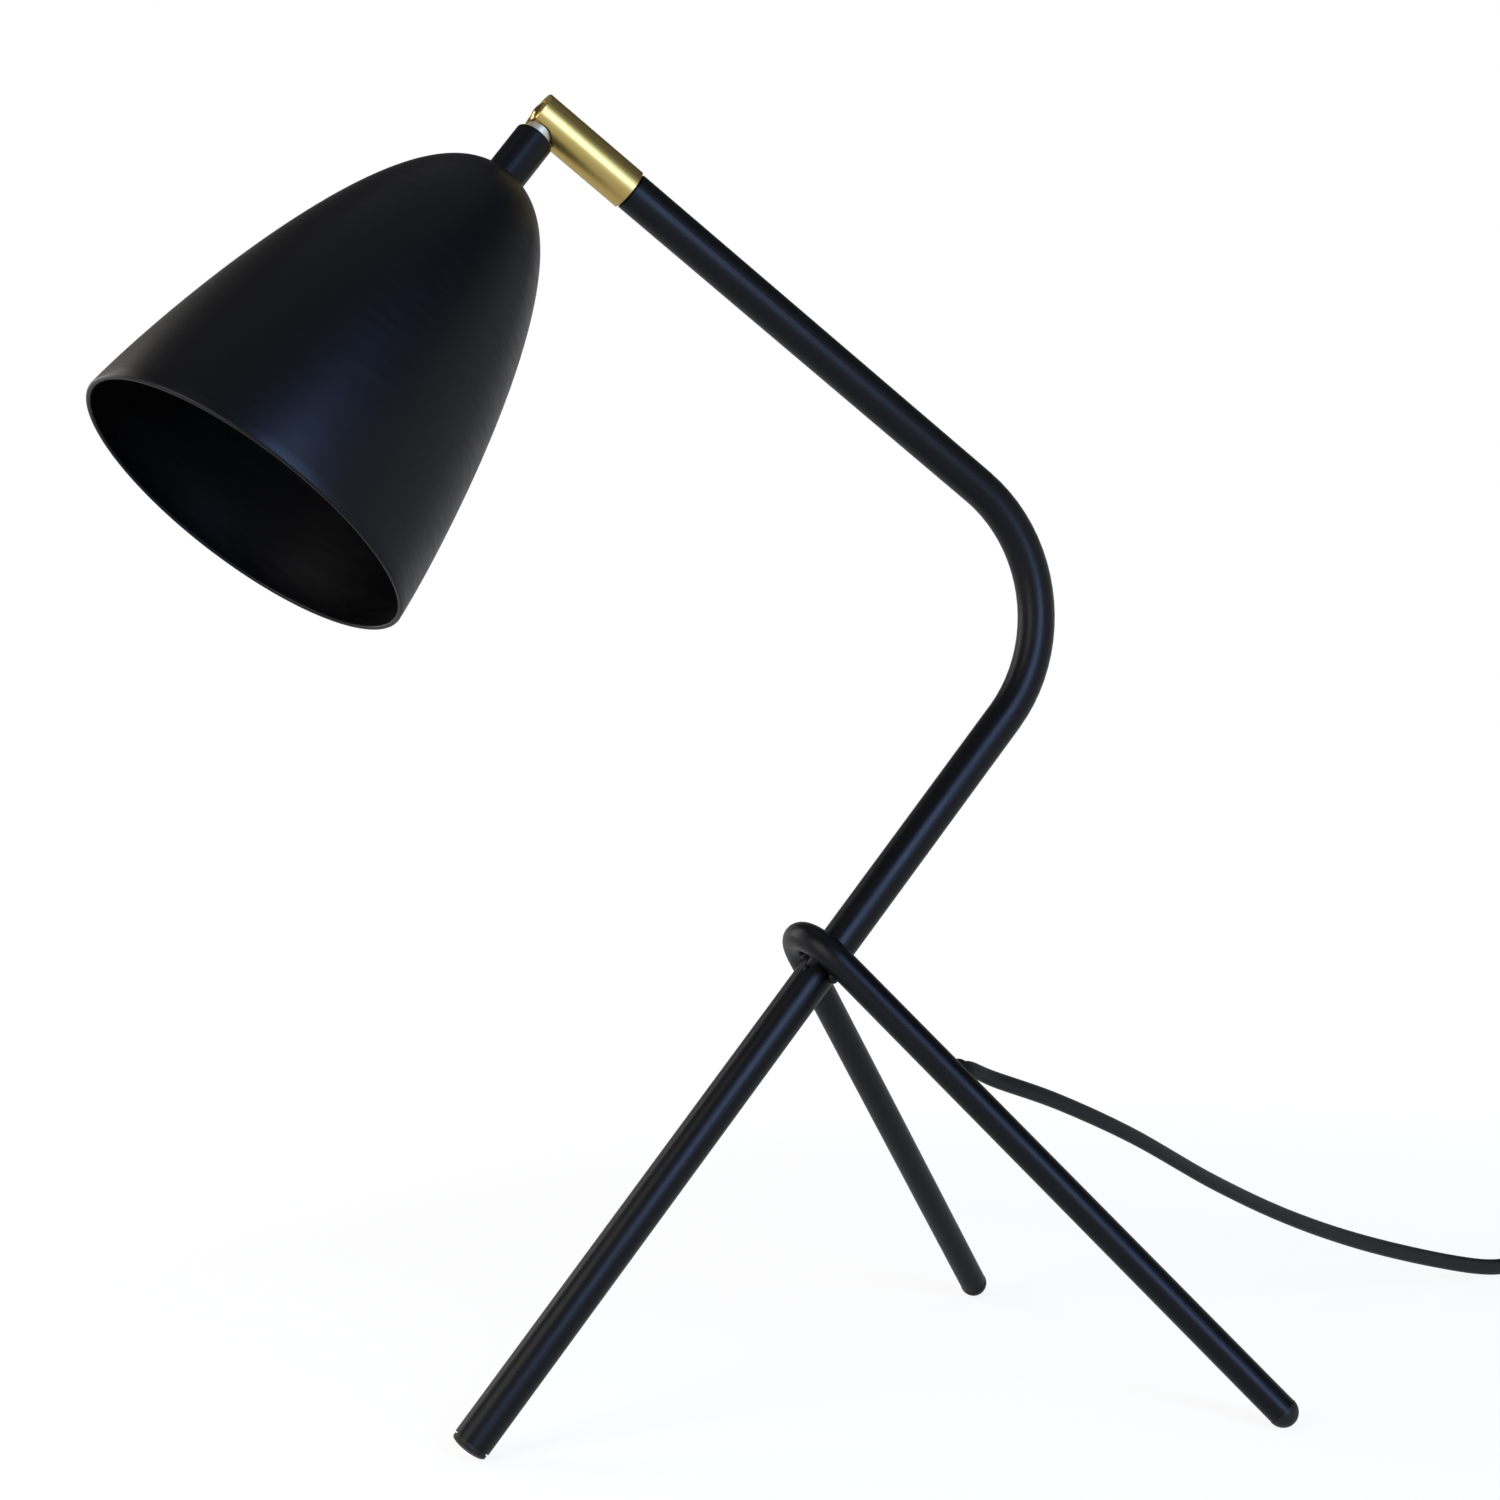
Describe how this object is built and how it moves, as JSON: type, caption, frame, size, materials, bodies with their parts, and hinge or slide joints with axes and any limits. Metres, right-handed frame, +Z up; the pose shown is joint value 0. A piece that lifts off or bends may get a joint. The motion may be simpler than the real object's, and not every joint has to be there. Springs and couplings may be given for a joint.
{
  "type": "tripod table lamp",
  "caption": "Task lamp on a bent-tube tripod with a hairpin pair of rear legs, a brass ball knuckle and a bell-shaped black metal shade on a flat flex.",
  "frame": {"origin": "on the table, at the middle of the lamp's footprint without its flex", "axes": "+Z up, the lamp leans out and shines towards -Y, +X to the lamp's left as it faces the reader, across the two rear legs"},
  "size_m": [0.2108, 0.8056, 0.4311],
  "materials": {
    "black_powder_coat": "satin powder coat",
    "matt_black_shade": "matt lacquer over spun metal",
    "black_foot_plastic": "moulded, satin",
    "zinc_bush": "turned, plain",
    "satin_brass": "satin, drawn",
    "polished_brass": "polished",
    "spring_steel": "bright drawn",
    "seat_plastic": "turned slippery plastic",
    "plated_steel": "zinc plated",
    "black_holder_plastic": "moulded, fine matt",
    "white_ceramic": "glazed steatite",
    "contact_brass": "stamped strip",
    "cap_aluminium": "rolled",
    "solder_tip": "soldered",
    "bulb_plastic": "moulded white",
    "opal_dome": "opal",
    "black_flex": "extruded, satin",
    "black_rubber": "soft moulded",
    "black_switch_plastic": "moulded, fine texture",
    "black_rocker_plastic": "moulded, gloss",
    "black_plug_plastic": "moulded, satin",
    "nickel_pins": "nickel plated"
  },
  "bodies": {
    "base_frame": {"arm_tube": "black_powder_coat", "rear_legs": "black_powder_coat", "hub_welds": "black_powder_coat", "front_foot": "black_foot_plastic", "rear_foot_right": "black_foot_plastic", "rear_foot_left": "black_foot_plastic", "tube_bush": "zinc_bush", "knuckle_sleeve": "satin_brass", "knuckle_spring": "spring_steel", "ball_seat": "seat_plastic", "arm_lead": "black_flex", "cord_grommet": "black_rubber", "cord_lead": "black_flex", "switch_base": "black_switch_plastic", "switch_cover": "black_switch_plastic", "switch_contacts": "contact_brass", "switch_screws": "plated_steel", "cord_tail": "black_flex", "cord_coil": "black_flex", "cord_end": "black_flex", "plug_body": "black_plug_plastic", "plug_pins": "nickel_pins"},
    "swivel_stud": {"ball_stud": "polished_brass", "stud_clip": "spring_steel"},
    "shade_head": {"stem": "black_powder_coat", "shade": "matt_black_shade", "shade_nipple": "plated_steel", "shade_washer": "plated_steel", "lock_nut": "plated_steel", "holder_cap": "black_holder_plastic", "holder_core": "white_ceramic", "holder_skirt": "black_holder_plastic", "screw_shell": "contact_brass", "centre_contact": "contact_brass", "bulb_base": "cap_aluminium", "bulb_tip": "solder_tip", "bulb_housing": "bulb_plastic", "bulb_dome": "opal_dome", "head_lead": "black_flex"},
    "rocker": {"switch_rocker": "black_rocker_plastic"}
  },
  "joints": [
    {"name": "shade_tilt", "type": "hinge", "parent": "base_frame", "child": "swivel_stud", "pos_m": [0, -0.02499, 0.42286], "axis": [0.9943, 0.0645, 0.0844], "range_deg": [-92, 5]},
    {"name": "shade_swivel", "type": "hinge", "parent": "swivel_stud", "child": "shade_head", "pos_m": [0, -0.02499, 0.42286], "axis": [0.1061, -0.6447, -0.757], "range_deg": [-160, 160]},
    {"name": "switch_rock", "type": "hinge", "parent": "base_frame", "child": "rocker", "pos_m": [-0.023, 0.43, 0.012], "axis": [-1, 0, 0], "range_deg": [-16, 0]}
  ]
}
